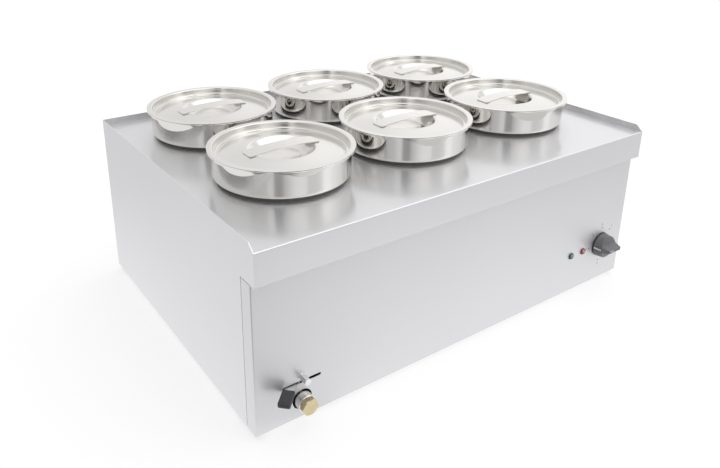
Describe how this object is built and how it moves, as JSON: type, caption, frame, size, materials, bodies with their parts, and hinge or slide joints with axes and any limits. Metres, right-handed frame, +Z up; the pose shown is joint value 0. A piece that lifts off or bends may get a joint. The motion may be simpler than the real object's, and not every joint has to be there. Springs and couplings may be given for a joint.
{
  "type": "wet bain marie",
  "caption": "Counter-top steel water well with a folded casing, round lidded pots, thermostat knob, pilot lamps and a plugged lever drain tap.",
  "frame": {"origin": "on the floor under the middle of the whole object's box", "axes": "+X to the right seen from the front, +Y to the back, +Z up"},
  "size_m": [0.8, 0.6204, 0.3504],
  "materials": {
    "satin_steel": "satin brushed",
    "inner_steel": "mill",
    "polished_steel": "mirror polished",
    "zinc_steel": "zinc plated",
    "element_steel": "heat darkened",
    "turned_steel": "turned",
    "nickel_plate": "satin nickel plate",
    "brass": "machined",
    "copper_pipe": "drawn tube",
    "black_moulding": "moulded",
    "pale_moulding": "moulded",
    "seat_polymer": "turned",
    "cable_sleeve": "braided sleeve",
    "green_lens": "moulded lens",
    "red_lens": "moulded lens",
    "rubber": "moulded"
  },
  "bodies": {
    "casing": {"top_plate": "satin_steel", "left_side_panel": "satin_steel", "right_side_panel": "satin_steel", "rear_panel": "satin_steel", "front_panel": "satin_steel", "base_panel": "inner_steel", "left_corner_post": "inner_steel", "right_corner_post": "inner_steel", "water_tank": "inner_steel", "element_stands": "inner_steel", "bulb_pocket": "inner_steel", "rubber_feet": "rubber", "pot_seals": "rubber", "foot_screws": "zinc_steel", "rear_panel_screws": "zinc_steel", "tap_bracket": "zinc_steel", "bracket_bolt": "zinc_steel", "heating_element": "element_steel", "element_bushes": "brass", "drain_socket": "brass", "cable_gland": "black_moulding", "gland_lock_nut": "black_moulding", "thermostat_body": "pale_moulding", "overheat_cutout": "pale_moulding", "lamp_bodies": "pale_moulding", "terminal_block": "pale_moulding", "thermostat_bulb": "turned_steel", "green_lamp_lens": "green_lens", "red_lamp_lens": "red_lens", "wiring_loom": "cable_sleeve", "drain_pipe": "copper_pipe", "tap_body": "nickel_plate", "tap_inlet": "nickel_plate", "ball_seats": "seat_polymer"},
    "knob": {"control_knob": "black_moulding", "thermostat_spindle": "turned_steel"},
    "drain_lever": {"tap_lever": "zinc_steel", "lever_grip": "black_moulding", "tap_stem": "turned_steel", "stem_nut": "zinc_steel", "tap_ball": "nickel_plate"},
    "drain_plug": {"tap_plug": "brass"},
    "pot_1_body": {"pot_1": "polished_steel"},
    "lid_1_body": {"lid_1": "polished_steel", "lid_handle_1": "polished_steel"},
    "pot_2_body": {"pot_2": "polished_steel"},
    "lid_2_body": {"lid_2": "polished_steel", "lid_handle_2": "polished_steel"},
    "pot_3_body": {"pot_3": "polished_steel"},
    "lid_3_body": {"lid_3": "polished_steel", "lid_handle_3": "polished_steel"},
    "pot_4_body": {"pot_4": "polished_steel"},
    "lid_4_body": {"lid_4": "polished_steel", "lid_handle_4": "polished_steel"},
    "pot_5_body": {"pot_5": "polished_steel"},
    "lid_5_body": {"lid_5": "polished_steel", "lid_handle_5": "polished_steel"},
    "pot_6_body": {"pot_6": "polished_steel"},
    "lid_6_body": {"lid_6": "polished_steel", "lid_handle_6": "polished_steel"}
  },
  "joints": [
    {"name": "knob_turn", "type": "hinge", "parent": "casing", "child": "knob", "pos_m": [0.339, -0.27575, 0.083], "axis": [0, 1, 0], "range_deg": [0, 270]},
    {"name": "drain_lever_turn", "type": "hinge", "parent": "casing", "child": "drain_lever", "pos_m": [-0.325, -0.25775, 0.0676], "axis": [0, 0, 1], "range_deg": [0, 90]},
    {"name": "drain_plug_out", "type": "slide", "parent": "casing", "child": "drain_plug", "axis": [0, -1, 0], "range_m": [0, 0.03]},
    {"name": "pot_1_lift", "type": "slide", "parent": "casing", "child": "pot_1_body", "axis": [0, 0, 1], "range_m": [0, 0.2]},
    {"name": "lid_1_lift", "type": "slide", "parent": "pot_1_body", "child": "lid_1_body", "axis": [0, 0, 1], "range_m": [0, 0.08]},
    {"name": "pot_2_lift", "type": "slide", "parent": "casing", "child": "pot_2_body", "axis": [0, 0, 1], "range_m": [0, 0.2]},
    {"name": "lid_2_lift", "type": "slide", "parent": "pot_2_body", "child": "lid_2_body", "axis": [0, 0, 1], "range_m": [0, 0.08]},
    {"name": "pot_3_lift", "type": "slide", "parent": "casing", "child": "pot_3_body", "axis": [0, 0, 1], "range_m": [0, 0.2]},
    {"name": "lid_3_lift", "type": "slide", "parent": "pot_3_body", "child": "lid_3_body", "axis": [0, 0, 1], "range_m": [0, 0.08]},
    {"name": "pot_4_lift", "type": "slide", "parent": "casing", "child": "pot_4_body", "axis": [0, 0, 1], "range_m": [0, 0.2]},
    {"name": "lid_4_lift", "type": "slide", "parent": "pot_4_body", "child": "lid_4_body", "axis": [0, 0, 1], "range_m": [0, 0.08]},
    {"name": "pot_5_lift", "type": "slide", "parent": "casing", "child": "pot_5_body", "axis": [0, 0, 1], "range_m": [0, 0.2]},
    {"name": "lid_5_lift", "type": "slide", "parent": "pot_5_body", "child": "lid_5_body", "axis": [0, 0, 1], "range_m": [0, 0.08]},
    {"name": "pot_6_lift", "type": "slide", "parent": "casing", "child": "pot_6_body", "axis": [0, 0, 1], "range_m": [0, 0.2]},
    {"name": "lid_6_lift", "type": "slide", "parent": "pot_6_body", "child": "lid_6_body", "axis": [0, 0, 1], "range_m": [0, 0.08]}
  ]
}
